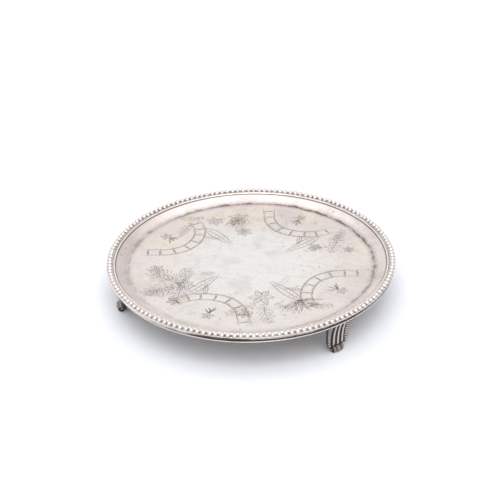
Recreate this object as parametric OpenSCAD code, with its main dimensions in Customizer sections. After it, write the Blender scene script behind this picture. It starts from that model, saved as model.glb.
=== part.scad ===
/* [Tray] */
// Diameter over the beads of the border
tray_d = 203; // [180:1:230]
// Height from the table to the underside of the edge lip
foot_h = 24; // [20:0.5:30]
// Thickness of the hammered sheet
sheet_t = 1; // [0.8:0.1:1.2]
// Width of the sloping wall between the flat plate and the border
cavetto_w = 8.2; // [7:0.2:10]
// Drop from the rim shelf to the flat plate
well_drop = 4.1; // [3.6:0.1:4.6]
// Hollow of the sloping wall below a straight slope
cavetto_sag = 0.45; // [0.3:0.05:0.7]

/* [Border] */
// Diameter of one bead
bead_d = 3.9; // [3.6:0.1:4.2]
// Least space between two beads
bead_gap = 0.2; // [0.15:0.05:0.3]
// Height of the bead centres above the rim shelf
bead_rise = 0.9; // [0.7:0.1:1.1]
// Width of the half round wire inside the beads
thread_w = 1.5; // [1.2:0.1:1.6]
// Height of the edge moulding below the rim shelf
apron_h = 3.2; // [3:0.1:3.6]
// Diameter of the rolled lip along the bottom of the edge moulding
lip_d = 1.2; // [1:0.1:1.4]

/* [Feet] */
// Angle between the two front feet
foot_spread = 115; // [105:1:125]
// Width of a foot under the lip
foot_top_w = 21.6; // [19:0.2:24]
// Width of a foot at its waist
foot_waist_w = 16.4; // [15:0.2:18]
// Height of the waist above the table
waist_h = 9; // [8:0.5:10]
// Distance from one reed of a foot to the next
reed_pitch = 3.6; // [3.2:0.1:4]
// Diameter of the scroll toe
toe_d = 5.4; // [5:0.1:6]
// Width of the scroll toe
toe_w = 8.4; // [7.6:0.2:9]

/* [Hidden] */
$fn = 96;

// Radii, outside to inside
tray_r = tray_d / 2;
bead_r = bead_d / 2;
bead_ring_r = tray_r - bead_r;
strip_out = tray_r - 0.5;
strip_in = bead_ring_r - bead_r - 0.6;
shelf_out = strip_out - 1;
thread_clear = 0.05;
thread_r = strip_in - thread_clear - thread_w / 2;
shelf_in = thread_r - thread_w / 2 - 0.05;
well_r = shelf_in - cavetto_w;
lip_ring_r = shelf_out - 1;
apron_in = lip_ring_r - 1.6;
apron_out = lip_ring_r + 0.1;

// Heights above the table
lip_r = lip_d / 2;
shelf_bottom = foot_h + apron_h;
shelf_top = shelf_bottom + sheet_t;
plate_top = shelf_top - well_drop;
plate_bottom = plate_top - sheet_t;
bead_z = shelf_top + bead_rise;
strip_t = 0.6;

// Beads in the border, a whole number in each quarter
bead_count = 4 * floor(PI * 2 * bead_ring_r / (4 * (bead_d + bead_gap)));

// Sloping wall: a hollow arc through the plate's corner and the shelf's inner edge
chord = norm([cavetto_w, well_drop]);
cavetto_r = (chord * chord / 4 + cavetto_sag * cavetto_sag) / (2 * cavetto_sag);
slope = atan2(well_drop, cavetto_w);
arc_mid = [(well_r + shelf_in) / 2, (plate_top + shelf_top) / 2];
arc_c = arc_mid + (cavetto_r - cavetto_sag) * [-sin(slope), cos(slope)];

// Sides of the small round sections, few enough that every face of a ring is a plain cone
section_fn = 12;

// Edge moulding
fillet_r = 0.85;
fillet_c = [shelf_out + 0.1, shelf_bottom + 0.15];
rail_t = 0.7;
cove_r = 1.25;
cove_c = [apron_out + cove_r - 0.1, foot_h + lip_d + 0.4];

// Feet: the reeded face is a hollow arc about an axis outside the tray
toe_r = toe_d / 2;
waist_r = lip_ring_r - 3.8;
face_top_r = lip_ring_r - 0.4;
face_rise = foot_h - waist_h;
face_run = face_top_r - waist_r;
face_r = (face_run * face_run + face_rise * face_rise) / (2 * face_run);
foot_depth = 5.2;
reed_r = 1.95;
reed_backing = 1.8;
backing_w = foot_top_w + 4;
reeds = 5;
side_run = (foot_top_w - foot_waist_w) / 2;
side_r = (side_run * side_run + face_rise * face_rise) / (2 * side_run);
tab_t = 1.7;
tab_w = 17;
toe_flat = 0.15;
toe_ring_r = waist_r + 0.8;
eye_r = 1.1;
eye_t = 0.4;
side_play = 60;
turn_up = 40;
turn_down = 14;
foot_angles = [270 - foot_spread / 2, 270 + foot_spread / 2, 90];

// Section of the sheet: flat plate, hollow wall and rim shelf
module sheet_section() {
    translate([0, plate_bottom]) square([well_r, sheet_t]);
    intersection() {
        translate(arc_c) difference() {
            circle(r = cavetto_r + sheet_t);
            circle(r = cavetto_r);
        }
        translate([well_r, plate_bottom]) square([cavetto_w, well_drop + sheet_t]);
    }
    translate([shelf_in, shelf_bottom]) square([shelf_out - shelf_in, sheet_t]);
}

// The tray itself, raised from one sheet
module tray_plate() {
    color("gainsboro") rotate_extrude() sheet_section();
}

// Half round wire that frames the wall
module thread_wire() {
    color("silver") rotate_extrude() translate([thread_r, shelf_top]) intersection() {
        circle(d = thread_w, $fn = section_fn);
        translate([-thread_w, 0]) square([2 * thread_w, thread_w]);
    }
}

// One bead, a ball with a flat base on the shelf
module bead() {
    rotate_extrude($fn = 48) intersection() {
        translate([0, bead_rise]) circle(r = bead_r, $fn = 48);
        square([bead_d, bead_d]);
    }
}

// Strip of beads along the rim
module bead_border() {
    color("whitesmoke") union() {
        rotate_extrude() translate([strip_in, shelf_top]) square([strip_out - strip_in, strip_t]);
        for (i = [0 : bead_count - 1])
            rotate([0, 0, i * 360 / bead_count]) translate([bead_ring_r, 0, shelf_top]) bead();
    }
}

// Section of the edge moulding: fillet round the sheet's edge, cove and rolled lip
module edge_section() {
    difference() {
        union() {
            translate(fillet_c) circle(r = fillet_r, $fn = section_fn);
            translate([apron_in, shelf_bottom - rail_t]) square([fillet_c[0] - apron_in, rail_t]);
            translate([apron_in, foot_h + lip_r / 2])
                square([apron_out - apron_in, apron_h - lip_r / 2]);
            translate([lip_ring_r, foot_h + lip_r]) circle(r = lip_r, $fn = section_fn);
        }
        translate([shelf_in, shelf_bottom]) square([shelf_out - shelf_in, 2 * sheet_t]);
        translate([shelf_in, shelf_top]) square([tray_r - shelf_in, sheet_t]);
        translate(cove_c) circle(r = cove_r, $fn = section_fn);
    }
}

// Moulded wire that closes the edge of the sheet from outside and below
module edge_moulding() {
    color("lightgray") rotate_extrude() edge_section();
}

// Reeded section of a foot, at its distance from the axis of the hollow face
module reed_section() {
    for (i = [0 : reeds - 1])
        translate([face_r + reed_r, (i - (reeds - 1) / 2) * reed_pitch]) circle(r = reed_r, $fn = 48);
    translate([face_r + reed_backing, -backing_w / 2])
        square([foot_depth - reed_backing, backing_w]);
}

// Curved reeded panel, facing out along +X
module foot_panel() {
    translate([waist_r + face_r, 0, waist_h]) rotate([90, 0, 180])
        rotate([0, 0, -turn_down]) rotate_extrude(angle = turn_up + turn_down) reed_section();
}

// Outline of a foot seen from outside: hollow sides over a round base
module foot_outline() {
    difference() {
        translate([-foot_top_w, waist_h + 1]) square([2 * foot_top_w, foot_h - waist_h - 1]);
        for (side = [-1, 1])
            translate([side * (foot_waist_w / 2 + side_r), waist_h]) circle(r = side_r, $fn = 180);
    }
    translate([0, waist_h + 1]) circle(d = foot_waist_w, $fn = 64);
}

// Scroll toe with its two eyes and a worn flat underneath
module toe() {
    translate([toe_ring_r, 0, toe_r - toe_flat]) rotate([90, 0, 0]) {
        cylinder(d = toe_d, h = toe_w, center = true, $fn = 64);
        cylinder(r = eye_r, h = toe_w + 2 * eye_t, center = true, $fn = 32);
    }
}

// Tab behind the edge moulding, soldered to the underside of the shelf
module foot_tab() {
    intersection() {
        translate([0, 0, foot_h - 1]) difference() {
            cylinder(r = apron_in, h = apron_h + 1, $fn = 180);
            translate([0, 0, -1]) cylinder(r = apron_in - tab_t, h = apron_h + 3, $fn = 180);
        }
        translate([tray_r / 2, -tab_w / 2, 0]) cube([tray_r, tab_w, tray_r]);
    }
}

// One cast foot, standing out along +X
module foot() {
    difference() {
        union() {
            intersection() {
                foot_panel();
                translate([waist_r - foot_depth - 2, 0, 0]) rotate([90, 0, 90])
                    linear_extrude(height = foot_depth + 10) foot_outline();
            }
            toe();
            foot_tab();
        }
        translate([waist_r - side_play / 2, -side_play / 2, -toe_d])
            cube([side_play, side_play, toe_d]);
    }
}

module foot_front_left() {
    color("darkgray") rotate([0, 0, foot_angles[0]]) foot();
}

module foot_front_right() {
    color("darkgray") rotate([0, 0, foot_angles[1]]) foot();
}

module foot_back() {
    color("darkgray") rotate([0, 0, foot_angles[2]]) foot();
}

tray_plate();
thread_wire();
bead_border();
edge_moulding();
foot_front_left();
foot_front_right();
foot_back();
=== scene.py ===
import math

import bmesh
import bpy
import numpy as np
from bpy.props import FloatProperty, FloatVectorProperty, IntProperty, PointerProperty
from mathutils import Matrix, Vector
from mathutils.geometry import delaunay_2d_cdt


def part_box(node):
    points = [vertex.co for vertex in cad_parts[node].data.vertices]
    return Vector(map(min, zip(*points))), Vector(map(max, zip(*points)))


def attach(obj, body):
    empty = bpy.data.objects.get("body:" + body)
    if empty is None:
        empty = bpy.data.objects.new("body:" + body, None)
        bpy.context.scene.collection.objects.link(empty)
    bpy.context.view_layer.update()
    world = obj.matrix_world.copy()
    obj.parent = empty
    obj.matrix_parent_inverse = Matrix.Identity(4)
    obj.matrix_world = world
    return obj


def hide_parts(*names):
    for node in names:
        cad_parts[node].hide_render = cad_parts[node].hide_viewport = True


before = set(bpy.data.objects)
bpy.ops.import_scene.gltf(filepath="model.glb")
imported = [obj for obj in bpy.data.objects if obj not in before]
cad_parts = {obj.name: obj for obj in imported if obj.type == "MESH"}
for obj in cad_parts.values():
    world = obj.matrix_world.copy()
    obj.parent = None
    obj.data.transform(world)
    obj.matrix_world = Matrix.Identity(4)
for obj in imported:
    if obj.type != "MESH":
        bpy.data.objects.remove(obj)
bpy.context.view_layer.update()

bl_info = {
    "name": "Engraved Beaded Salver",
    "version": (1, 0, 0),
    "blender": (4, 5, 0),
    "location": "3D View > Sidebar > Salver",
    "description": "Round footed salver with an engraved plate, a beaded border and reeded feet",
    "category": "Add Mesh",
}

MM = 0.001                      # the maker's millimetres, in metres
TURN = 2 * math.pi


# ---- sizes

def corners(node):
    """Lowest and highest corners of a CAD node, in millimetres."""
    low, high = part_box(node)
    return np.array(low) / MM, np.array(high) / MM


PLATE_LOW, PLATE_HIGH = corners("tray_plate")
WIRE_LOW, WIRE_HIGH = corners("thread_wire")
BEAD_LOW, BEAD_HIGH = corners("bead_border")

# radii from the tray's axis, and heights above the table
RIM = BEAD_HIGH[0]
SHELF_OUT = PLATE_HIGH[0]
SHELF_TOP = PLATE_HIGH[2]
PLATE_BOTTOM = PLATE_LOW[2]
LIP_BOTTOM = corners("edge_moulding")[0][2]


def amount(name, words, value, least=0.0, **more):
    """One number of a group, with what it means and its least value."""
    return FloatProperty(name=name, description=words, default=value, min=least, **more)


def tint(name, words, colour):
    """One linear colour of a group."""
    return FloatVectorProperty(name=name, description=words, subtype="COLOR", size=3,
                               min=0, max=1, default=colour)


class SalverTray(bpy.types.PropertyGroup):
    """Sizes of the tray and its engraving"""
    sheet: amount("Sheet", "Thickness of the sheet, in mm", 1.0, 0.5)
    wall: amount("Wall", "Width of the sloping wall, in mm", 8.2, 2)
    sag: amount("Hollow", "Hollow of the wall below a straight slope, in mm", 0.45, 0.05)
    cut_width: amount("Cut width", "Width of a bold engraved line, in mm", 0.6, 0.1)
    cut_slope: amount("Cut slope", "Depth of a cut for each mm of its half width", 0.4, 0.1)
    turns: IntProperty(name="Steps round", description="Faces round the tray", default=256, min=32)


class SalverBorder(bpy.types.PropertyGroup):
    """Sizes of the beads, the thread and the moulded edge"""
    beads: IntProperty(name="Beads", description="Beads round the rim", default=152, min=8)
    bead_length: amount("Bead length", "Along the tray's radius, in mm", 4.35, 1)
    bead_width: amount("Bead width", "Along the rim, in mm", 3.8, 1)
    unevenness: amount("Unevenness", "How much one bead differs from the next", 0.035)
    wear: amount("Edge wear", "Waviness of the worn edge moulding, in mm", 0.07)


class SalverFeet(bpy.types.PropertyGroup):
    """Sizes of the three cast feet"""
    reed_pitch: amount("Reed pitch", "From one reed to the next, in mm", 3.6, 1)
    notch_pitch: amount("Notch pitch", "From one side notch to the next, in mm", 1.9, 0.5)
    waist: amount("Waist height", "Height of a foot's narrowest place above the table, in mm", 9.0, 4)


class SalverFinish(bpy.types.PropertyGroup):
    """Colours of the silver and of what has settled on it"""
    silver: tint("Silver", "Clean worn silver", (0.955, 0.915, 0.875))
    cream: tint("Cream", "Thin yellow tarnish", (0.93, 0.84, 0.70))
    rose: tint("Rose", "Thin pink tarnish", (0.87, 0.735, 0.70))
    ash: tint("Ash", "Grey mottling of the plate", (0.62, 0.6, 0.58))
    haze: tint("Haze", "Wide soft clouds on the plate", (0.6, 0.51, 0.49))
    fleck: tint("Fleck", "Small flecks on the plate", (0.5, 0.42, 0.4))
    stain: tint("Stain", "Stains on the wall and the shelf", (0.56, 0.45, 0.4))
    shade: tint("Shade", "Dull left side of the wall", (0.58, 0.48, 0.45))
    dull: tint("Dull", "Tarnished underside", (0.42, 0.37, 0.33))
    # brown also tints the thread's foot, where it stands partly for painted shade
    brown: tint("Brown", "Thick tarnish in corners", (0.16, 0.105, 0.095))
    bead: tint("Bead", "Clean beads", (0.76, 0.70, 0.67))
    # dark tint between the beads: part dirt, part painted shade
    bead_dirt_and_shade: tint("Bead dirt", "Dirt between the beads", (0.19, 0.14, 0.125))
    edge: tint("Edge", "Clean edge moulding", (0.82, 0.76, 0.74))
    # dark tint of the cove: part tarnish, part painted shade
    edge_dirt_and_shade: tint("Edge dirt", "Dirt in the cove", (0.07, 0.052, 0.052))
    foot: tint("Foot", "Rubbed ridges of the feet", (0.54, 0.49, 0.465))
    # dark tint of the feet's grooves: part tarnish, part painted shade
    foot_dirt_and_shade: tint("Foot dirt", "Black grooves of the feet", (0.05, 0.038, 0.034))
    floor: tint("Floor", "Pale floor", (0.915, 0.93, 0.965))
    floor_mottle: tint("Floor mottle", "Faint mottle of the floor", (0.88, 0.89, 0.92))


class SalverStage(bpy.types.PropertyGroup):
    """Camera and light"""
    azimuth: amount("Azimuth", "Camera direction round the tray", math.radians(20.9), subtype="ANGLE")
    elevation: amount("Elevation", "Camera height as an angle", math.radians(30.54), subtype="ANGLE")
    roll: amount("Roll", "Tilt of the camera", math.radians(1.25), subtype="ANGLE")
    distance: amount("Distance", "From the camera to the tray", 0.9158, unit="LENGTH")
    lens: amount("Lens", "Focal length on a 36 mm film, in mm", 93.6, 1)
    aim_right: amount("Aim right", "Camera's offset from the centre", -0.00062, -1, unit="LENGTH")
    aim_up: amount("Aim up", "Camera's offset from the centre", 0.0046, -1, unit="LENGTH")
    room_near: amount("Room, near side", "Light of the room beside the camera", 0.82)
    room_far: amount("Room, far side", "Light of the white wall behind the tray", 0.92)
    room_top: amount("Room, ceiling", "Light of the ceiling", 1.4)
    box_power: amount("Soft box", "Power of the soft box above the camera, in W", 8.6)


GROUPS = {"salver_tray": SalverTray, "salver_border": SalverBorder, "salver_feet": SalverFeet,
          "salver_finish": SalverFinish, "salver_stage": SalverStage}


# ---- meshes

def add_piece(name, points, faces, layers=(), smooth=True, sharp=None, weld=False):
    """One object at the origin from points in mm and rows of corner numbers (-1 fills a short row).
    layers are (name, one number for each point); smooth is one flag, or one for each face."""
    mesh = bpy.data.meshes.new(name)
    sizes = (faces >= 0).sum(axis=1)
    loops = faces[faces >= 0]
    mesh.vertices.add(len(points))
    mesh.vertices.foreach_set("co", (points * MM).ravel())
    mesh.loops.add(len(loops))
    mesh.loops.foreach_set("vertex_index", loops)
    mesh.polygons.add(len(faces))
    mesh.polygons.foreach_set("loop_start", np.concatenate([[0], np.cumsum(sizes)[:-1]]))
    mesh.polygons.foreach_set("use_smooth", np.broadcast_to(smooth, len(faces)).copy())
    for layer, values in layers:
        mesh.attributes.new(layer, "FLOAT", "POINT").data.foreach_set("value", values.astype(np.float32))
    mesh.update(calc_edges=True)
    if weld:
        work = bmesh.new()
        work.from_mesh(mesh)
        bmesh.ops.remove_doubles(work, verts=work.verts, dist=1e-7)
        bmesh.ops.dissolve_degenerate(work, edges=work.edges, dist=1e-8)
        work.to_mesh(mesh)
        work.free()
    if sharp is not None:
        mesh.set_sharp_from_angle(angle=math.radians(sharp))
    if mesh.validate():
        raise RuntimeError(name + " has faulty faces")
    piece = bpy.data.objects.new(name, mesh)
    bpy.context.scene.collection.objects.link(piece)
    return piece


def grid_faces(rows, columns, wrap_rows=False, wrap_columns=False):
    """Four cornered faces of a grid of rows by columns points, counted row by row."""
    r = np.arange(rows if wrap_rows else rows - 1)[:, None]
    c = np.arange(columns if wrap_columns else columns - 1)[None, :]
    r2, c2 = (r + 1) % rows, (c + 1) % columns
    quads = [r * columns + c, r * columns + c2, r2 * columns + c2, r2 * columns + c]
    return np.stack([np.broadcast_to(q, (r.size, c.size)) for q in quads], axis=-1).reshape(-1, 4)


def fan_faces(ring, pole, flip=False):
    """Three cornered faces from a ring of point numbers to a pole."""
    a, b = ring, np.roll(ring, -1)
    if flip:
        a, b = b, a
    return np.stack([a, b, np.full_like(a, pole), np.full_like(a, -1)], axis=1)


def gather(parts):
    """Joins (points, faces, values) parts into one set, shifting the corner numbers."""
    points, faces, values, base = [], [], [], 0
    for p, f, v in parts:
        points.append(p)
        faces.append(np.where(f >= 0, f + base, -1))
        values.append(v)
        base += len(p)
    return np.concatenate(points), np.concatenate(faces), np.concatenate(values)


def outward(points, faces):
    """Turns every face over if the closed shell's volume, a sum of p0 . (p1 x p2) / 6, is negative."""
    volume = 0.0
    for k in (1, 2):
        corner = faces[faces[:, k + 1] >= 0]
        a, b, c = points[corner[:, 0]], points[corner[:, k]], points[corner[:, k + 1]]
        volume += np.einsum("ij,ij->i", a, np.cross(b, c)).sum()
    if volume > 0:
        return faces
    full = faces[:, 3] >= 0
    turned = faces.copy()
    turned[full] = faces[full][:, ::-1]
    turned[~full, :3] = faces[~full][:, 2::-1]
    return turned


def capped(rings, poles):
    """Closes a stack of rings, rows by steps by xyz, with a pole at the first and at the last."""
    rows, steps = rings.shape[:2]
    points = np.concatenate([rings.reshape(-1, 3), poles])
    last = (rows - 1) * steps + np.arange(steps)
    faces = np.concatenate([grid_faces(rows, steps, False, True),
                            fan_faces(np.arange(steps), rows * steps, flip=True),
                            fan_faces(last, rows * steps + 1)])
    return points, outward(points, faces)


def round_angles(steps):
    """Evenly spaced angles round a full turn."""
    return np.arange(steps) * TURN / steps


def revolve(radius, height, steps):
    """Carries a section round the tray's axis: x = r cos a, y = r sin a, one row for each angle."""
    a = round_angles(steps)[:, None]
    height = np.broadcast_to(height, (steps, height.shape[-1]))
    return np.stack([radius * np.cos(a), radius * np.sin(a), height], axis=-1).reshape(-1, 3)


def turned_ring(section, steps, values, out=0.0, up=0.0):
    """A closed section (radius, height) as a ring; out and up shift its points at each angle."""
    points = revolve(section[:, 0] + out, section[:, 1] + up, steps)
    faces = grid_faces(steps, len(section), True, True)
    return points, outward(points, faces), np.tile(values, steps)


def arc(centre, radius, start, end, steps):
    """Points on a circle from one angle in degrees to another."""
    a = np.radians(np.linspace(start, end, steps))
    return np.stack([centre[0] + radius * np.cos(a), centre[1] + radius * np.sin(a)], axis=-1)


def waves(steps, rng, orders):
    """A smooth random curve round the tray: sines of whole orders with random phases, from -1 to 1."""
    angle = round_angles(steps)
    total = sum(rng.normal() * k ** -0.5 * np.sin(k * angle + rng.uniform(0, TURN)) for k in orders)
    return (total / np.abs(total).max())[:, None]


def ease(x, low, high):
    """0 below low, 1 above high, and 3t^2 - 2t^3 between."""
    t = np.clip((x - low) / (high - low), 0, 1)
    return t * t * (3 - 2 * t)


# ---- engraving
# A stroke is (points, half width): points are complex numbers x + iy in mm.

def along(points, count):
    """Smooth curve through a few points: Catmull-Rom cubics, count points in all."""
    p = np.asarray(points, dtype=complex)
    p = np.concatenate([[2 * p[0] - p[1]], p, [2 * p[-1] - p[-2]]])
    s = np.linspace(0, len(p) - 3 - 1e-9, count)
    k = s.astype(int)
    t = s - k
    a, b, c, d = p[k], p[k + 1], p[k + 2], p[k + 3]
    return 0.5 * (2 * b + (c - a) * t + (2 * a - 5 * b + 4 * c - d) * t ** 2
                  + (3 * b - a - 3 * c + d) * t ** 3)


def polar(degrees, radius):
    """Point in the plate's plane, by its direction and its distance from the axis."""
    return radius * np.exp(1j * np.radians(degrees))


def heading(line):
    """Unit direction of a line at each of its points."""
    step = np.gradient(line)
    return step / np.abs(step)


def place(strokes, at, turn=0.0):
    """Strokes drawn from the origin along +x, turned by so many degrees and moved to a point."""
    spin = np.exp(1j * np.radians(turn))
    return [(line * spin + at, half) for line, half in strokes]


def leaf(length, width, veins, half, rng, slant=0.5, lean=0.0):
    """Pointed leaf along +x: each edge bulges by sin(pi s^0.8), with a midrib and slanting veins."""
    s = np.linspace(0, 1, 11)
    rib = length * s + 1j * lean * length * s * (1 - s)
    bulge = 0.5j * width * np.sin(np.pi * s ** 0.8)
    strokes = [(rib + bulge, half), (rib - bulge, half), (rib[:-1], half * 0.8)]
    for k in range(veins):
        u = 0.14 + 0.74 * (k + 0.5) / veins + rng.normal() * 0.008
        for side in (-1, 1):
            foot = np.interp(u, s, rib.real) + 1j * np.interp(u, s, rib.imag)
            reach = 0.43 * width * math.sin(math.pi * min(u + 0.05, 1) ** 0.8)
            tip = foot + side * 1j * reach + slant * reach
            strokes.append((along([foot, (foot + tip) / 2 + 0.08 * reach, tip], 4), half * 0.62))
    return strokes


def frond(length, reach, pairs, half, rng, bend):
    """Fern frond along +x: a bent stem with pairs of narrow blades, longest at the middle."""
    s = np.linspace(0, 1, 12)
    stem = length * (s + 1j * bend * s * s)
    strokes = [(stem, half)]
    way = heading(stem)
    for k in range(pairs):
        u = 0.08 + 0.88 * k / max(pairs - 1, 1)
        foot = np.interp(u, s, stem.real) + 1j * np.interp(u, s, stem.imag)
        ahead = np.interp(u, s, way.real) + 1j * np.interp(u, s, way.imag)
        size = reach * (0.35 + 1.3 * u * (1 - u) * 2) * (1 + 0.14 * rng.normal())
        for side in (-1, 1):
            out = ahead * np.exp(side * 1j * math.radians(52 + 7 * rng.normal()))
            tip = foot + size * out
            middle = foot + 0.55 * size * out + 0.14 * size * ahead
            cross = 0.17 * size * out * 1j
            strokes.append((along([foot, middle + cross, tip], 5), half * 0.75))
            strokes.append((along([foot, middle - cross, tip], 5), half * 0.75))
    return strokes


def blossom(petals, size, half, rng, start=0.0):
    """Star flower at the origin: pointed petals round a small eye, each with a midrib."""
    strokes = []
    for k in range(petals):
        turn = start + 360 * k / petals + rng.normal() * 3
        petal = leaf(size * (0.86 + 0.12 * rng.random()), size * 0.42, 0, half, rng)
        strokes += place(petal, polar(turn, size * 0.14), turn)
    a = np.radians(np.linspace(0, 360, 9))
    strokes.append((0.13 * size * np.exp(1j * a), half * 0.8))
    return strokes


def tuft(blades, length, spread, half, rng):
    """Fan of grass blades along +x, each a narrow leaf of its own length."""
    strokes = []
    for k in range(blades):
        turn = spread * ((k + 0.5) / blades - 0.5) + rng.normal() * 3
        size = length * (0.65 + 0.4 * rng.random())
        strokes += place(leaf(size, size * 0.14, 0, half * 0.85, rng, lean=0.25 * rng.normal()), 0, turn)
    return strokes


def dots(points, half):
    """Short punched dots."""
    return [(np.array([p - 0.6, p, p + 0.6]), half) for p in points]


def bamboo_band(middle, half):
    """Crescent band round one quarter: two edges 8 mm apart with a thin line inside each, crossed by
    pairs of bars that end in dots, with three short hatches beside each pair."""
    spine = [(20.6, 81), (19.2, 72), (16.3, 60.5), (7, 51.8), (-6, 51), (-17, 57.2),
             (-21.6, 65.7), (-23, 77)]
    line = along([polar(middle + a, r) for a, r in spine], 60)
    way = heading(line)
    strokes = []
    for side in (-1, 1):
        strokes.append((line + side * 1j * way * 4.0, half))
        strokes.append((line[4:-4] + side * 1j * way[4:-4] * 3.2, half * 0.55))
    for k in range(5, 58, 7):
        for gap in (-0.42, 0.42):
            base, across = line[k] + gap * way[k], 1j * way[k]
            bar = base + across * np.linspace(-3.9, 3.9, 7) + way[k] * 0.5 * np.linspace(-1, 1, 7) ** 2
            strokes.append((bar, half * 1.05))
        for side in (-1, 1):
            strokes += dots([line[k] + side * 1j * way[k] * 4.7], half * 1.1)
        for j in range(3):
            near = line[k] + way[k] * (1.9 + 0.9 * j) - 1j * way[k] * 3.4
            strokes.append((near + 1j * way[k] * np.linspace(0, 1.7, 3), half * 0.55))
    return strokes


def ferns(rows, half, rng):
    """Fronds from rows of length, reach, pairs, bend, the angle and radius of the foot, and the turn."""
    strokes = []
    for length, reach, pairs, bend, angle, radius, turn in rows:
        strokes += place(frond(length, reach, pairs, half, rng, bend), polar(angle, radius), turn)
    return strokes


def flowers(rows, half, rng):
    """Blossoms from rows of petals and size, then the angle and the radius where each stands."""
    strokes = []
    for petals, size, angle, radius in rows:
        strokes += place(blossom(petals, size, half, rng), polar(angle, radius))
    return strokes


def drawing(tray):
    """The whole engraving: four bamboo bands, each with a long leaf, and sprays of ferns between."""
    rng = np.random.default_rng(7)
    bold = tray.cut_width / 2
    fine = bold * 0.78
    work = []
    for middle in (80, 168, 267, 348):
        work += bamboo_band(middle, bold)
        base, tip = polar(middle - 24, 62), polar(middle - 31, 27)
        turn = math.degrees(np.angle(tip - base))
        work += place(leaf(abs(tip - base), 7.4, 7, bold, rng, slant=0.2), base, turn)
        work += place(leaf(15, 3.2, 5, fine, rng, slant=0.6), polar(middle - 14, 52), turn + 38)
    # far side: drooping frond and small flowers
    work += ferns(((30, 8.4, 9, 0.2, 118, 74, 288), (22, 7.2, 7, -0.3, 112, 72, 268),
                   (18, 6, 6, 0.4, 124, 72, 320)), fine, rng)
    work += flowers(((6, 6.5, 117, 44), (5, 5, 123, 60)), fine, rng)
    # right side: standing ferns
    work += ferns(((26, 8.4, 8, 0.25, 31, 56, 78), (20, 6.6, 7, -0.25, 41, 66, 108),
                   (17, 6, 5, 0.3, 40, 60, 200)), fine, rng)
    work += flowers(((5, 5, 44, 50), (6, 4.5, 33, 72)), fine, rng)
    # near side: star flower over drooping ferns, and a tuft at the right hand band's foot
    work += place(blossom(6, 9.2, bold, rng, start=20), polar(-61, 46))
    work += ferns(((24, 7.8, 7, 0.25, -60, 52, -75), (22, 7.2, 7, -0.35, -66, 52, -105),
                   (18, 6, 6, 0.4, -52, 54, -40)), fine, rng)
    work += place(blossom(5, 5.5, fine, rng, start=50), polar(-73, 66))
    work += place(tuft(8, 19, 150, bold, rng), polar(-37, 58), -48)
    work += ferns(((15, 5.4, 5, 0.3, -34, 66, -10),), fine, rng)
    # left side: a dense palm
    work += ferns([(length, 8.6, 8, bend, 232, 53, turn) for turn, length, bend in
                   ((150, 34, 0.18), (180, 30, -0.2), (208, 33, 0.25), (236, 27, -0.25),
                    (262, 22, 0.3), (120, 20, -0.2))], fine, rng)
    work += flowers(((6, 7, 232, 53), (5, 5.5, 206, 66), (5, 5, 243, 72)), fine, rng)
    work += place(leaf(12, 3.4, 4, fine, rng, slant=0.5), polar(222, 39), 30)
    # between the far and the left bands
    work += ferns(((20, 6.5, 7, 0.3, 146, 73, 250), (17, 6, 6, -0.3, 137, 75, 222)), fine, rng)
    work += flowers(((6, 6.5, 134, 66),), fine, rng)
    # punched ground round the ferns
    for centre, spread, count in ((polar(228, 60), 11, 60), (polar(118, 66), 8, 40),
                                  (polar(36, 62), 8, 36), (polar(-62, 62), 8, 30)):
        scatter = rng.normal(size=(count, 2)) @ (1, 1j)
        work += dots(centre + spread * scatter, fine * 1.5)
    # inside the bowls of the bands
    for middle, turn in ((80, 262), (168, 340), (267, 95), (348, 160)):
        at = polar(middle, 73)
        work += place(blossom(5, 4.6, fine, rng, start=turn), at)
        work += place(tuft(4, 9, 110, fine, rng), at + polar(turn, 3), turn)
        work += dots([at + polar(turn + 40 * k, 7.5 + k) for k in range(-3, 4)], fine)
    return trimmed(work, tray_flat_radius(tray) - 1.2)


def trimmed(strokes, radius):
    """The strokes, or what is left of them, inside a radius; a stroke that leaves it twice goes."""
    kept = []
    for line, half in strokes:
        inside = np.abs(line) < radius
        if inside.all():
            kept.append((line, half))
        elif inside.sum() > 3:
            first = int(np.argmax(inside))
            last = len(inside) - int(np.argmax(inside[::-1]))
            if inside[first:last].all():
                kept.append((line[first:last], half))
    return kept


def fades(count):
    """Half width of a stroke along its length, as a share: a quick swell and a quick fade."""
    return np.sin(np.pi * np.linspace(0, 1, count)) ** 0.45


def cut_depth(points, strokes, slope):
    """Depth of the cut at each point. A stroke is a V, (half width - distance) times slope, and where
    strokes cross the deeper one counts. Points meet only the segments in the cells round their own."""
    cell, columns, origin = 4.0, 1000, 500

    def cell_number(z, right=0, up=0):
        across = np.floor(z.real / cell).astype(int) + origin + right
        return across * columns + np.floor(z.imag / cell).astype(int) + origin + up

    start = np.concatenate([line[:-1] for line, _ in strokes])
    end = np.concatenate([line[1:] for line, _ in strokes])
    wide = [half * fades(len(line)) for line, half in strokes]
    w0 = np.concatenate([w[:-1] for w in wide])
    w1 = np.concatenate([w[1:] for w in wide])
    key = cell_number((start + end) / 2)
    order = np.argsort(key, kind="stable")
    key = key[order]
    depth = np.zeros(len(points))
    for dx in (-1, 0, 1):
        for dy in (-1, 0, 1):
            want = cell_number(points, dx, dy)
            low, high = np.searchsorted(key, want, "left"), np.searchsorted(key, want, "right")
            count = high - low
            who = np.repeat(np.arange(len(points)), count)
            within = np.arange(count.sum()) - np.repeat(np.cumsum(count) - count, count)
            seg = order[np.repeat(low, count) + within]
            a, b, p = start[seg], end[seg], points[who]
            span = b - a
            t = np.clip(((p - a) * span.conj()).real / np.maximum(np.abs(span) ** 2, 1e-12), 0, 1)
            reach = w0[seg] + t * (w1[seg] - w0[seg])
            cut = np.maximum(0, reach - np.abs(p - a - t * span)) * slope
            np.maximum.at(depth, who, cut)
    return depth


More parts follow.
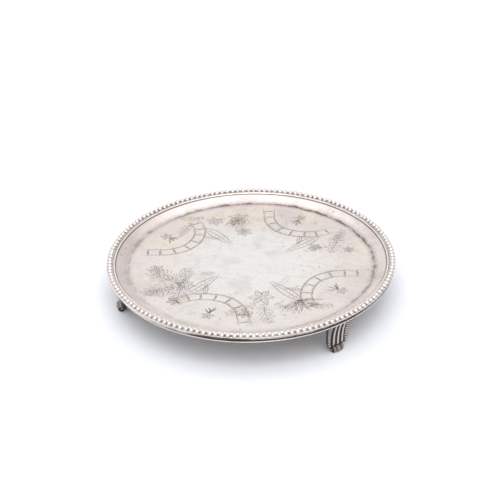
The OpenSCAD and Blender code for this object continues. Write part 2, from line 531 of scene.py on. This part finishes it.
def engraved_disc(tray, radius, height):
    """Flat disc with every stroke cut into it. The disc's edge, and the two sides and the bottom line
    of every stroke, are edges of one Delaunay triangulation, so the cuts are exact V grooves."""
    strokes = drawing(tray)
    number = np.arange(tray.turns)
    points = [polar(number * 360 / tray.turns, radius)]
    edges, base = [np.stack([number, np.roll(number, -1)], axis=1)], tray.turns
    for line, half in strokes:
        n = len(line)
        side = 1j * heading(line)[1:-1] * half * fades(n)[1:-1]
        points += [line, line[1:-1] + side, line[1:-1] - side]
        middle = base + np.arange(n)
        for k in (0, 1):
            chain = np.concatenate([[base], base + n + k * (n - 2) + np.arange(n - 2), [base + n - 1]])
            edges.append(np.stack([chain[:-1], chain[1:]], axis=1))
        edges.append(np.stack([middle[:-1], middle[1:]], axis=1))
        base += 3 * n - 4
    flat = np.concatenate(points)
    flat = np.stack([flat.real, flat.imag], axis=1)
    out = delaunay_2d_cdt(flat.tolist(), np.concatenate(edges).tolist(), [], 0, 1e-4, False)
    where = np.array(out[0], dtype=float)
    faces = np.array(out[2], dtype=int)
    depth = cut_depth(where[:, 0] + 1j * where[:, 1], strokes, tray.cut_slope)
    points = np.column_stack([where, height - depth])
    faces = np.column_stack([faces, np.full(len(faces), -1)])
    black = 0.4 * tray.cut_width / 2 * tray.cut_slope       # depth at which a cut is at its darkest
    return points, faces, np.clip(depth / black, 0, 1)


def tray_flat_radius(tray):
    """Radius of the flat plate: the wall ends just inside the thread wire."""
    wire_width = WIRE_HIGH[2] - WIRE_LOW[2]
    return WIRE_HIGH[0] - 2 * wire_width - 0.05 - tray.wall


# ---- shader helpers

class Flow:
    """One socket's value. The usual signs on it, and on plain numbers, add Math nodes."""

    def __init__(self, tree, socket):
        self.tree, self.socket = tree, socket

    def _math(self, kind, *terms, clamp=False):
        node = self.tree.nodes.new("ShaderNodeMath")
        node.operation, node.use_clamp = kind, clamp
        for slot, term in zip(node.inputs, terms):
            if isinstance(term, Flow):
                self.tree.links.new(term.socket, slot)
            else:
                slot.default_value = term
        return Flow(self.tree, node.outputs[0])

    def __add__(self, other):
        return self._math("ADD", self, other)

    def __radd__(self, other):
        return self._math("ADD", other, self)

    def __sub__(self, other):
        return self._math("SUBTRACT", self, other)

    def __rsub__(self, other):
        return self._math("SUBTRACT", other, self)

    def __mul__(self, other):
        return self._math("MULTIPLY", self, other)

    def __rmul__(self, other):
        return self._math("MULTIPLY", other, self)

    def __pow__(self, other):
        return self._math("POWER", self, other)

    def __abs__(self):
        return self._math("ABSOLUTE", self)

    def sine(self):
        return self._math("SINE", self)

    def most(self, other):
        return self._math("MAXIMUM", self, other)

    def clip(self):
        return self._math("ADD", self, 0.0, clamp=True)

    def angle(self, other):
        return self._math("ARCTAN2", self, other)


class Bench:
    """The nodes of a new material or of the room, with the main shader already in place."""

    def __init__(self, owner, shader="Principled BSDF"):
        self.owner = owner
        owner.use_nodes = True
        self.tree = owner.node_tree
        self.shader = self.tree.nodes[shader]

    def add(self, kind, settings=None, out=0, **sockets):
        """Adds a node: its settings first, then values or links by socket name."""
        node = self.tree.nodes.new("ShaderNode" + kind)
        for name, value in (settings or {}).items():
            setattr(node, name, value)
        for name, value in sockets.items():
            self.put(node, name.replace("_", " "), value)
        return Flow(self.tree, node.outputs[out])

    def put(self, node, name, value):
        """Links or sets one socket of a node."""
        slot = node.inputs[name]
        if not slot.enabled:
            slot = next(s for s in node.inputs if s.name == name and s.enabled)
        if isinstance(value, Flow):
            self.tree.links.new(value.socket, slot)
        elif isinstance(value, tuple) and slot.type == "RGBA":
            slot.default_value = (*value[:3], 1)
        else:
            slot.default_value = value

    def finish(self, **sockets):
        """Links or sets the shader's own sockets."""
        for name, value in sockets.items():
            self.put(self.shader, name.replace("_", " "), value)
        return self.owner

    def place(self):
        """Position on the piece, in metres in the part's frame."""
        return self.add("TexCoord", out=3)

    def axes(self, where):
        """The three parts of a vector."""
        node = self.add("SeparateXYZ", Vector=where).socket.node
        return [Flow(self.tree, s) for s in node.outputs]

    def layer(self, name):
        """A number kept on the mesh."""
        return self.add("Attribute", {"attribute_name": name}, out=2)

    def stretch(self, where, turn, scale, move=(0, 0, 0)):
        """Coordinates moved, turned about the tray's axis and stretched."""
        return self.add("Mapping", Vector=where, Rotation=(0, 0, math.radians(turn)),
                        Scale=scale, Location=move)

    def noise(self, where, scale, detail=2.0, rough=0.5, warp=0.0):
        return self.add("TexNoise", Vector=where, Scale=scale, Detail=detail, Roughness=rough,
                        Distortion=warp)

    def step(self, value, low, high):
        """0 below low and 1 above high, easing between."""
        return self.add("MapRange", {"interpolation_type": "SMOOTHSTEP"}, Value=value,
                        From_Min=low, From_Max=high)

    def blend(self, share, first, second):
        """Mixes two colours."""
        return self.add("Mix", {"data_type": "RGBA"}, out=2, Factor=share, A=first, B=second)

    def bump(self, height, strength, depth, under=None):
        sockets = {"Height": height, "Strength": strength, "Distance": depth}
        if under is not None:
            sockets["Normal"] = under
        return self.add("Bump", **sockets)


def scratches(bench, where, seeds, scale, keep):
    """Fine straight scratches: noise drawn out seventyfold along a few directions, its peaks kept."""
    total = 0.0
    for turn, shift in seeds:
        stretched = bench.stretch(where, turn, (scale, scale * 70, scale * 10), (shift, 0, 0))
        lines = bench.noise(stretched, 1.0, detail=1.5)
        total = total + bench.step(lines, keep, keep + 0.05)
    return total


# ---- finishes

def plate_tarnish(b, here, look, radius, flat, around, wide):
    """Colour of the sheet: silver in the middle, and cream, rose, grey and brown clouds further out."""
    clouds = b.stretch(here, 40, (1, 1, 1), (0.3, 0.1, 0))
    patch = b.noise(clouds, 42, detail=4, rough=0.6, warp=0.8)
    lean = 0.72 + 0.28 * (around - math.radians(21)).sine()
    outer = b.step(radius, flat * 0.3, flat * 0.9) * lean
    rose = b.step(wide, 0.44, 0.62) * outer
    colour = b.blend(outer * (0.6 + 0.4 * rose), look["silver"], look["rose"])
    cream = b.step(patch, 0.44, 0.58) * outer * (1 - b.step(radius, flat, flat + 1) * 0.75)
    colour = b.blend(cream * 0.85, colour, look["cream"])
    ash = b.step(b.noise(here, 60, detail=4, rough=0.65, warp=0.4), 0.46, 0.66)
    colour = b.blend(ash * 0.32, colour, look["ash"])
    haze = b.step(b.noise(here, 19, detail=5, rough=0.6, warp=0.5), 0.48, 0.7) * outer
    colour = b.blend(haze * 0.25, colour, look["haze"])
    fleck = b.step(b.noise(here, 210, detail=3, rough=0.7), 0.5, 0.68)
    colour = b.blend(fleck * 0.13, colour, look["fleck"])
    stain = b.step(b.noise(here, 48, detail=3, rough=0.6), 0.5, 0.64)
    colour = b.blend(stain * b.step(radius, flat + 0.5, flat + 2.5) * 0.22, colour, look["stain"])
    # the wall is duller on its left side
    left = (around - math.radians(111)).sine().most(0.0) ** 5 * b.step(radius, flat, flat + 1.5)
    return b.blend(left * (0.4 + 0.3 * wide), colour, look["shade"])


def corner_line(b, here, radius, flat, around):
    """Darkness of the line between plate and wall: a soft glow, and cores that wander and break off."""
    ragged = b.noise(here, 100, detail=5, rough=0.72)
    side = 0.68 + 0.32 * (around + math.radians(10)).sine()
    wander = (b.noise(here, 75, detail=4, rough=0.65) - 0.5) * 3.9
    off = abs(radius - (flat - 0.35) + wander)
    line = (1 - b.step(off, 0.5, 1.1 + 1.6 * ragged)) * side * 0.55
    core = (1 - b.step(off, 0.25, 0.35 + 1.3 * ragged)) * b.step(ragged, 0.4, 0.5) * side
    lump = (1 - b.step(off, 0.3, 0.8 + 4.2 * ragged)) * b.step(ragged, 0.46, 0.54) * side * 0.9
    glow = (1 - b.step(off, 0.4, 4.5)) * side * 0.4
    return line.most(core).most(lump).most(glow)


def plate_finish(look, tray):
    """Worn satin silver with tarnish, a dark corner line, scratches, pits and darkened cuts."""
    b = Bench(bpy.data.materials.new("plate_silver"))
    here = b.place()
    x, y = b.axes(here)[:2]
    radius = (x * x + y * y) ** 0.5 * (1 / MM)
    around = y.angle(x)
    flat = tray_flat_radius(tray)
    wide = b.noise(here, 26, detail=3, rough=0.55, warp=0.6)
    grain = b.noise(here, 900, detail=2)
    colour = plate_tarnish(b, here, look, radius, flat, around, wide)
    line = corner_line(b, here, radius, flat, around)
    seam = 1 - b.step(abs(radius - (flat + tray.wall)), 0.25, 0.85)
    cut = b.step(b.layer("cut"), 0.04, 0.42)
    pits = b.step(b.noise(here, 330, detail=1, rough=0.4), 0.71, 0.75) * b.step(wide, 0.42, 0.55)
    lines = scratches(b, here, ((12, 0), (37, 3), (81, 7), (128, 11), (157, 17)), 22, 0.66)
    dark = line.most(seam * 0.85).most(cut).most(pits * 0.55).most(lines * 0.16).clip()
    colour = b.blend(b.layer("under") * 0.8, colour, look["dull"])
    colour = b.blend(dark, colour, look["brown"])
    rough = 0.17 + 0.1 * wide + 0.07 * grain + 0.25 * dark + 0.05 * lines
    normal = b.bump(b.noise(here, 34, detail=2), 0.22, 0.0009)
    normal = b.bump(lines, 0.12, 0.00005, normal)
    normal = b.bump(grain, 0.05, 0.00003, normal)
    return b.finish(Base_Color=colour, Metallic=1.0 - 0.35 * dark, Roughness=rough.clip(), Normal=normal)


def cast_finish(name, look, clean, dirt_and_shade, low, high, rough, spread):
    """Silver that is clean where it is rubbed and dark in its hollows, where the share kept on the mesh
    goes from low to high: part tarnish, part painted shade. spread is how much the darkness differs from
    place to place."""
    b = Bench(bpy.data.materials.new(name))
    here = b.place()
    mottle = b.noise(here, 160, detail=4, rough=0.65)
    fine = b.noise(here, 1100, detail=2)
    wide = b.noise(here, 30, detail=2)
    # darkness of the hollows: part tarnish, part painted shade
    dark = b.step(b.layer("nook") + (mottle - 0.5) * 0.55 + (wide - 0.5) * spread, low, high)
    skin = b.blend(b.step(mottle, 0.4, 0.7) * 0.5, look[clean], look["rose"])
    skin = b.blend(b.step(wide, 0.45, 0.65) * 0.3, skin, look["cream"])
    colour = b.blend(dark, skin, look[dirt_and_shade])
    normal = b.bump(mottle, 0.15, 0.0002)
    normal = b.bump(fine, 0.08, 0.00005, normal)
    return b.finish(Base_Color=colour, Metallic=1.0 - 0.6 * dark,
                    Roughness=(rough + 0.1 * mottle + 0.35 * dark).clip(), Normal=normal)


def floor_finish(look):
    """Matt white board with the faintest mottle."""
    b = Bench(bpy.data.materials.new("pale_floor"))
    shade = b.noise(b.place(), 9, detail=3)
    colour = b.blend(shade * 0.05, look["floor"], look["floor_mottle"])
    return b.finish(Base_Color=colour, Roughness=0.9, Specular_IOR_Level=0.2)


def palette():
    """The finish colours as plain tuples."""
    look = bpy.context.scene.salver_finish
    return {name: tuple(getattr(look, name)) for name in SalverFinish.__annotations__}


def settle(piece, material, slot, *nodes):
    """Gives a piece its finish, lets it ride on the tray and stand for its CAD nodes."""
    piece.data.materials.append(material)
    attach(piece, "root")
    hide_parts(*nodes)


# ---- pieces

class SALVER_OT_tray(bpy.types.Operator):
    """Tray raised from one sheet: engraved plate, hollow wall and rim shelf"""
    bl_idname = "salver.tray"
    bl_label = "Engraved tray"

    def execute(self, context):
        tray = context.scene.salver_tray
        flat, top = tray_flat_radius(tray), PLATE_BOTTOM + tray.sheet
        disc = engraved_disc(tray, flat, top)
        # wall: a circle through the plate's corner and the shelf's inner edge, hollow by sag
        run, rise = tray.wall, SHELF_TOP - top
        chord = math.hypot(run, rise)
        bend = (chord ** 2 / 4 + tray.sag ** 2) / (2 * tray.sag)
        slope = math.atan2(rise, run)
        centre = (flat + run / 2 - (bend - tray.sag) * math.sin(slope),
                  top + rise / 2 + (bend - tray.sag) * math.cos(slope))
        half = math.degrees(math.asin(chord / 2 / bend))
        low, high = math.degrees(slope) - 90 - half, math.degrees(slope) - 90 + half
        wall = arc(centre, bend, low, high, 12)
        corner = 0.2
        section = np.concatenate([wall, [[SHELF_OUT - corner, SHELF_TOP], [SHELF_OUT, SHELF_TOP - corner],
                                         [SHELF_OUT, SHELF_TOP - tray.sheet]],
                                  arc(centre, bend + tray.sheet, high, low, 8),
                                  [[flat * share, PLATE_BOTTOM] for share in (1, 0.75, 0.4, 0.1)]])
        steps, rows = tray.turns, len(section)
        shell = np.concatenate([revolve(section[:, 0], section[:, 1], steps), [[0, 0, PLATE_BOTTOM]]])
        hidden = np.append(np.tile(np.arange(rows) > len(wall) + 2, steps), True)
        last = np.arange(steps) * rows + rows - 1
        faces = np.concatenate([grid_faces(steps, rows, True, False)[:, ::-1],
                                fan_faces(last, len(shell) - 1, flip=True)])
        points, faces, cut = gather([disc, (shell, faces, np.zeros(len(shell)))])
        under = np.concatenate([np.zeros(len(disc[0])), hidden])
        round_faces = np.arange(len(faces)) >= len(disc[1])
        piece = add_piece("tray_engraved", points, faces, [("cut", cut), ("under", under)],
                          round_faces, sharp=9, weld=True)
        settle(piece, plate_finish(palette(), tray), "plate_silver", "tray_plate")
        return {"FINISHED"}


class SALVER_OT_thread(bpy.types.Operator):
    """Half round thread wire between the wall and the beads"""
    bl_idname = "salver.thread"
    bl_label = "Thread wire"

    def execute(self, context):
        steps, sunk = 256, SHELF_TOP - 0.04
        half = WIRE_HIGH[2] - WIRE_LOW[2]
        middle = WIRE_HIGH[0] - half
        section = np.concatenate([arc((middle, SHELF_TOP), half, 0, 180, 13),
                                  [[middle - half, sunk], [middle + half, sunk]]])
        # the thread darkens towards its foot on the shelf: part tarnish, part painted shade in the crease
        nook = 1 - ease(section[:, 1] - SHELF_TOP, 0.15, 0.6)
        ripple = 0.03 * waves(steps, np.random.default_rng(11), range(3, 30))
        points, faces, values = turned_ring(section, steps, nook, ripple * (section[:, 1] > SHELF_TOP))
        piece = add_piece("thread_moulding", points, faces, [("nook", values)], sharp=50)
        settle(piece, cast_finish("thread_silver", palette(), "silver", "brown", 0.3, 1.0, 0.22, 0.8),
               "border_silver", "thread_wire")
        return {"FINISHED"}


class SALVER_OT_beads(bpy.types.Operator):
    """Cast strip of beads along the rim, each bead slightly longer than wide"""
    bl_idname = "salver.beads"
    bl_label = "Bead border"

    def execute(self, context):
        border = context.scene.salver_border
        rng = np.random.default_rng(23)
        inner, outer = RIM - 4.5, RIM - 0.5
        top = SHELF_TOP + 0.6
        section = np.array([[outer, SHELF_TOP], [outer, top - 0.12], [outer - 0.15, top],
                            [outer - 0.8, top - 0.05], [inner + 0.7, top - 0.05],
                            [inner + 0.12, top], [inner, top - 0.12], [inner, SHELF_TOP]])
        # the strip darkens at its foot and between the beads: part dirt, part painted shade
        strip_nook = np.array([0.7, 0.15, 0.2, 0.62, 0.62, 0.5, 0.7, 1.0])
        strip = turned_ring(section, 2 * border.beads, strip_nook)
        # bead: a dome, height (1 - q^2)^0.45 over an oval, with angle p and q from 1 at the rim to 0
        around, levels = 12, 5
        p = round_angles(around)
        q = np.cos(np.linspace(0, math.pi / 2, levels + 1))[:-1]
        n = border.beads
        length = border.bead_length / 2 * (1 + border.unevenness * rng.normal(size=n))
        width = border.bead_width / 2 * (1 + border.unevenness * rng.normal(size=n))
        crown = BEAD_HIGH[2] - 0.02 - 0.10 * rng.random(n)
        base = top - 0.25
        at = (np.arange(n) + 0.12 * rng.normal(size=n) * border.unevenness * 8) * TURN / n
        reach = RIM - 0.05 - length
        radial = length[:, None, None] * q[:, None] * np.cos(p) + reach[:, None, None]
        across = width[:, None, None] * q[:, None] * np.sin(p)
        lift = base + (crown - base)[:, None, None] * np.sqrt(1 - q ** 2)[:, None] ** 0.9
        ca, sa = np.cos(at)[:, None, None], np.sin(at)[:, None, None]
        dome = np.stack([radial * ca - across * sa, radial * sa + across * ca,
                         np.broadcast_to(lift, radial.shape)], axis=-1)
        tip, floor = (np.stack([reach * np.cos(at), reach * np.sin(at), z], axis=-1)[:, None]
                      for z in (crown, np.full(n, base)))
        each = np.concatenate([dome.reshape(n, -1, 3), tip, floor], axis=1)
        last = (levels - 1) * around + np.arange(around)
        one = np.concatenate([grid_faces(levels, around, False, True), fan_faces(last, levels * around),
                              fan_faces(np.arange(around), levels * around + 1, flip=True)])
        many = np.where(one[None] >= 0, one[None] + (np.arange(n) * each.shape[1])[:, None, None], -1)
        # darkness between the beads, less at their two ends and fading up each dome: part dirt, part
        # painted shade
        between = 0.45 + 0.6 * np.abs(np.sin(p)) ** 1.5
        level_nook = np.array([1.05, 0.75, 0.38, 0.12, 0.0])[:, None]
        nook = np.concatenate([(level_nook * between).ravel(), [0, 1]])
        beads = (each.reshape(-1, 3), many.reshape(-1, 4), np.tile(nook, n))
        points, faces, values = gather([strip, beads])
        piece = add_piece("bead_band", points, faces, [("nook", values)], sharp=55)
        settle(piece, cast_finish("bead_silver", palette(), "bead", "bead_dirt_and_shade", 0.3, 1.05, 0.2, 0.6),
               "border_silver", "bead_border")
        return {"FINISHED"}


class SALVER_OT_edge(bpy.types.Operator):
    """Moulded edge under the beads: fillet, cove and rolled lip, worn uneven"""
    bl_idname = "salver.edge"
    bl_label = "Moulded edge"

    def execute(self, context):
        steps, wear = 512, context.scene.salver_border.wear
        shelf_bottom = SHELF_TOP - context.scene.salver_tray.sheet
        lip_r, ring = 0.6, SHELF_OUT - 1.0
        fillet = arc((SHELF_OUT + 0.1, shelf_bottom + 0.15), 0.83, 92, -52, 12)
        cove = arc((ring + 1.25, LIP_BOTTOM + 1.6), 1.22, 62, 242, 16)
        lip = arc((ring, LIP_BOTTOM + lip_r), lip_r, 62, -182, 20)
        inner = ring - 1.6
        section = np.concatenate([fillet, cove, lip,
                                  [[inner + 0.15, LIP_BOTTOM + 0.35], [inner, LIP_BOTTOM + 0.6],
                                   [inner, shelf_bottom], [SHELF_OUT, shelf_bottom],
                                   [SHELF_OUT, SHELF_TOP - 0.01]]])
        height = section[:, 1] - LIP_BOTTOM
        outside = section[:, 0] > ring - 0.3
        # the cove and the fillet's lower half are darkened, the inner face a little: part tarnish, part
        # painted shade
        nook = np.where(outside, 1.15 * ease(height, 0.8, 1.15) * (1 - ease(height, 3.15, 3.6)), 0.35)
        nook = np.maximum(nook, 0.8 * ease(height, 2.4, 2.9) * outside)
        rng = np.random.default_rng(31)
        slow, quick, rise = (waves(steps, rng, orders)
                             for orders in (range(3, 16), range(30, 140), range(4, 40)))
        low = (1 - ease(height, 2.8, 3.4)) * outside
        out = wear * (0.7 * slow + 0.5 * quick) * low - 0.04 * low
        up = wear * 0.6 * rise * low * (height > 0.8)
        points, faces, values = turned_ring(section, steps, nook, out, up)
        # painted shade: the cove is darker towards the front right and lighter towards the back left
        values = values * (0.5 + 0.55 * np.cos(np.arctan2(points[:, 1], points[:, 0]) + math.radians(25)))
        piece = add_piece("edge_band", points, faces, [("nook", values)], sharp=40)
        settle(piece, cast_finish("edge_silver", palette(), "edge", "edge_dirt_and_shade", 0.35, 1.0, 0.24, 1.6),
               "edge_silver", "edge_moulding")
        return {"FINISHED"}


def foot_shell(feet, crown):
    """Loft of level sections down a foot, x outwards; returns points, faces and nook. Across the face
    stand three reeds, half ovals side by side, between two notched wings, which flare outwards in
    proportion to their distance from the reeds. The foot widens above the waist and draws in below it."""
    levels, across = 84, 113
    z = np.linspace(LIP_BOTTOM + 0.3, 1.8, levels)[:, None]
    over, narrow = z - feet.waist, 8.2
    width = np.where(over > 1, narrow + 3.0 * (over / 15) ** 2, narrow - 0.06 * (1 - over) ** 2)
    y = np.linspace(-1, 1, across) * width
    wide = np.abs(y)
    # reeds: each ends in a round tip over the toe
    plain = 1.4
    reed = np.clip(np.round(y / feet.reed_pitch), -1, 1)
    apart = np.abs(y - reed * feet.reed_pitch) / (feet.reed_pitch / 2)
    tip = 4.9 + 0.5 * np.abs(reed)
    shrink = np.sqrt(1 - (1 - (z - tip) / 2.4).clip(0, 1) ** 2)
    lobe = plain * np.sqrt(np.maximum(1 - (apart * 0.93) ** 2, 0)) * shrink
    # wings
    side = 1.5 * feet.reed_pitch
    middle, half = (side + width) / 2 + 0.1, (width - side) / 2 + 0.01
    notch = (0.5 + 0.5 * np.cos(TURN * z / feet.notch_pitch)) ** 2
    wing = 0.85 * np.sqrt(np.maximum(1 - ((wide - middle) / half) ** 2, 0)) * (1 - 0.55 * notch)
    wing = wing * ease(z, 3.5, 6)
    # the plain face under both, hollow behind the toe, and the back parallel to it
    flare = 0.28 * np.maximum(wide - side, 0)
    face = crown(z) - plain + flare - 1.3 * ease(-z, -5.4, -3.6)
    on_reed = wide < side
    # darkness in the reed grooves, under the reed tips and in the wing notches: part tarnish, part
    # painted shade
    nook = np.where(on_reed, np.maximum(ease(apart, 0.15, 0.7), 1 - shrink),
                    0.1 + 0.85 * notch + 0.6 * (wide < side + 0.6))
    # four sides in turn: the front, one edge, the back, slightly narrower, and the other edge
    thick = 2.2
    s = np.array([0.25, 0.5, 0.75])
    rim, bulge = face[:, -1:], width + 0.12 * np.sin(math.pi * s)
    # the edges and the back are darkened: part painted shade, as they face in under the tray, part
    # tarnish
    edge_nook, back_nook = np.full((levels, 3), 0.6), np.full((levels, across), 0.75)
    rows = [(face + np.where(on_reed, lobe, wing), y, nook),
            (rim - thick * s, bulge, edge_nook),
            (face[:, ::-1] - thick, y[:, ::-1] * 0.985, back_nook),
            (rim - thick * s[::-1], -bulge, edge_nook)]
    x, y, nook = (np.concatenate(part, axis=1) for part in zip(*rows))
    # painted shadow of the moulding: the grooves get darker towards the top of the foot, under the lip
    nook = np.maximum(nook, 0.8 * ease(z, LIP_BOTTOM - 3.2, LIP_BOTTOM - 0.6) * (nook > 0.3))
    rings = np.stack([x, y, np.broadcast_to(z, x.shape)], axis=-1)
    return *capped(rings, rings[[0, -1]].mean(axis=1)), np.concatenate([nook.ravel(), [1, 1]])


def foot_toe(ring):
    """Scroll toe: radii along the toe's own axis, turned about it, and flattened where it stands.
    A middle roll stands between two side rolls, and each end has a sunk ring round a standing eye."""
    small, swell, height, steps = 1.5, 0.95, 2.5, 40
    t = np.linspace(0, 4.3, 30)
    middle = small + swell * np.sqrt(np.maximum(1 - (t / 1.9) ** 4, 0))
    side = small + swell * np.sqrt(np.maximum(1 - ((t - 3.1) / 1.3) ** 2, 0))
    radius = np.where(t < 1.9, middle, side)
    depth = 1 - ease(radius, 1.7, 2.4)
    t = np.concatenate([t, [4.36, 4.2, 4.0, 4.0, 4.3, 4.5, 4.58]])
    radius = np.concatenate([radius, [1.75, 1.55, 1.35, 1.05, 0.95, 0.75, 0.4]])
    depth = np.concatenate([depth, [0.4, 0.8, 1, 1, 0.5, 0.1, 0]])
    t = np.concatenate([-t[:0:-1], t])
    radius, depth = (np.concatenate([half[:0:-1], half]) for half in (radius, depth))
    a = round_angles(steps)
    # a faint spiral: the roll's radius shrinks a little over one turn
    reach = radius[:, None] * (1 - 0.05 * ((a + 2.2) % TURN) / TURN)
    axis = ring - 0.03 * t[:, None] ** 2
    x = axis + reach * np.cos(a)
    z = np.maximum(height + reach * np.sin(a), 0.0)
    rings = np.stack([x, np.broadcast_to(t[:, None], x.shape), z], axis=-1)
    poles = [[axis[k, 0], t[k], height] for k in (0, -1)]
    # the toe is darkened all over and most in its sunk rings: part grime, part painted reflection of the
    # shaded floor
    return *capped(rings, poles), np.concatenate([np.repeat(0.45 + 0.6 * depth, steps), [0.2, 0.2]])


def foot_tab(middle, thick):
    """Tab behind the moulding, soldered up to the shelf: a box bent round the tray's axis,
    with a rounded outline |u|^6 + |v|^6 = 1 that spreads where the solder has run."""
    a = round_angles(48)
    u, v = (np.sign(wave) * np.abs(wave) ** (1 / 3) for wave in (np.cos(a), np.sin(a)))
    z = np.linspace(LIP_BOTTOM - 1.2, SHELF_TOP - 1.02, 10)[:, None]
    puddle = 0.5 * ease(z, SHELF_TOP - 2.4, SHELF_TOP - 1.0)
    r = middle + thick / 2 * u * (1 + puddle) - 0.3 * puddle
    turn = (8.5 * v * (1 + 0.05 * puddle)) / middle
    rings = np.stack([r * np.cos(turn), r * np.sin(turn), z + 0 * r], axis=-1)
    points, faces = capped(rings, [[middle, 0, z[0, 0]], [middle, 0, z[-1, 0]]])
    return points, faces, np.full(len(points), 0.55)


def foot_angle(node):
    """Direction of a foot from the tray's axis, through the middle of its box."""
    low, high = corners(node)
    return math.atan2(low[1] + high[1], low[0] + high[0])


class SALVER_OT_feet(bpy.types.Operator):
    """Three cast feet: reeded face, notched sides, scroll toe and soldered tab"""
    bl_idname = "salver.feet"
    bl_label = "Reeded feet"

    def execute(self, context):
        feet = context.scene.salver_feet
        waist_r, bow = SHELF_OUT - 4.8, 34.75

        def crown(z):
            """Outermost radius of the reeds: a circle that bows in to the waist."""
            return waist_r + bow - np.sqrt(bow ** 2 - (z - feet.waist) ** 2)

        points, faces, nook = gather([foot_shell(feet, crown), foot_toe(waist_r - 0.7),
                                      foot_tab(SHELF_OUT - 3.45, 1.6)])
        material = cast_finish("foot_silver", palette(), "foot", "foot_dirt_and_shade", 0.05, 0.75, 0.26, 0.6)
        for node, name in (("foot_front_left", "foot_left"), ("foot_front_right", "foot_right"),
                           ("foot_back", "foot_rear")):
            a = foot_angle(node)
            spin = np.array([[math.cos(a), math.sin(a), 0], [-math.sin(a), math.cos(a), 0], [0, 0, 1]])
            piece = add_piece(name, points @ spin, faces, [("nook", nook)], sharp=60)
            settle(piece, material, "foot_silver", node)
        return {"FINISHED"}


# ---- stage

def soft_box(name, at, size, power, aim):
    """Square area light at a point, turned to face its aim."""
    data = bpy.data.lights.new(name, "AREA")
    data.shape, data.size, data.energy = "SQUARE", size, power
    lamp = bpy.data.objects.new(name, data)
    lamp.matrix_world = Matrix.Translation(at) @ (aim - at).to_track_quat("-Z", "Y").to_matrix().to_4x4()
    bpy.context.scene.collection.objects.link(lamp)


def white_room(stage, away):
    """World light: brightest overhead and behind the tray, dimmer on the camera's side."""
    b = Bench(bpy.data.worlds.new("white_room"), "Background")
    way = b.add("TexCoord")
    behind = b.add("VectorMath", {"operation": "DOT_PRODUCT"}, out=1, Vector=way)
    behind.socket.node.inputs[1].default_value = -away
    light = stage.room_near + (stage.room_far - stage.room_near) * b.step(behind, -0.55, 0.4)
    light = light + (stage.room_top - light) * b.step(b.axes(way)[2], 0.6, 0.95)
    return b.finish(Color=(0.965, 0.98, 1.0), Strength=light)


class SALVER_OT_stage(bpy.types.Operator):
    """Pale floor, soft light and camera"""
    bl_idname = "salver.stage"
    bl_label = "Stage"

    def execute(self, context):
        scene, stage = context.scene, context.scene.salver_stage
        reach = 3000.0              # the floor goes this far each way, in mm
        line = np.linspace(-reach, reach, 9)
        x, y = (part.ravel() for part in np.meshgrid(line, line, indexing="ij"))
        floor = add_piece("pale_floor", np.column_stack([x, y, 0 * x]), grid_faces(9, 9)[:, ::-1])
        floor.data.materials.append(floor_finish(palette()))

        a, e, roll = stage.azimuth, stage.elevation, stage.roll
        target = Vector((0, 0, BEAD_LOW[2] + 0.9)) * MM         # the beads' centres
        right = Vector((math.cos(a), math.sin(a), 0))
        ahead = Vector((-math.sin(a) * math.cos(e), math.cos(a) * math.cos(e), -math.sin(e)))
        up = right.cross(ahead)
        away = Vector((math.sin(a), -math.cos(a), 0))           # level, from the tray to the camera
        soft_box("soft_box", target + away * 0.9 + right * 0.02 + Vector((0, 0, 1.25)), 1.0,
                 stage.box_power, target)
        scene.world = white_room(stage, away)

        side = right * math.cos(roll) - up * math.sin(roll)
        top = right * math.sin(roll) + up * math.cos(roll)
        eye = target + side * stage.aim_right + top * stage.aim_up - ahead * stage.distance
        data = bpy.data.cameras.new("view")
        data.lens, data.sensor_width = stage.lens, 36
        data.clip_start, data.clip_end = 0.01, 20
        camera = bpy.data.objects.new("view", data)
        axes = Matrix((side, top, -ahead)).transposed().to_4x4()
        camera.matrix_world = Matrix.Translation(eye) @ axes
        scene.collection.objects.link(camera)
        scene.camera = camera
        scene.view_settings.view_transform = "Standard"
        return {"FINISHED"}


OPERATORS = [SALVER_OT_stage, SALVER_OT_tray, SALVER_OT_thread, SALVER_OT_beads, SALVER_OT_edge,
             SALVER_OT_feet]


class SALVER_PT_panel(bpy.types.Panel):
    """Sidebar panel with the pieces and their sizes"""
    bl_idname = "SALVER_PT_panel"
    bl_label = "Salver"
    bl_space_type = "VIEW_3D"
    bl_region_type = "UI"
    bl_category = "Salver"

    def draw(self, context):
        for operator in OPERATORS:
            self.layout.operator(operator.bl_idname)
        for group, kind in GROUPS.items():
            box = self.layout.box()
            for name in kind.__annotations__:
                box.prop(getattr(context.scene, group), name)


CLASSES = [*GROUPS.values(), *OPERATORS, SALVER_PT_panel]


def register():
    for kind in CLASSES:
        bpy.utils.register_class(kind)
    for name, kind in GROUPS.items():
        setattr(bpy.types.Scene, name, PointerProperty(type=kind))


def unregister():
    for name in GROUPS:
        delattr(bpy.types.Scene, name)
    for kind in reversed(CLASSES):
        bpy.utils.unregister_class(kind)


def main():
    register()
    bpy.ops.salver.stage()
    bpy.ops.salver.tray()
    bpy.ops.salver.thread()
    bpy.ops.salver.beads()
    bpy.ops.salver.edge()
    bpy.ops.salver.feet()


if __name__ == "__main__":
    main()
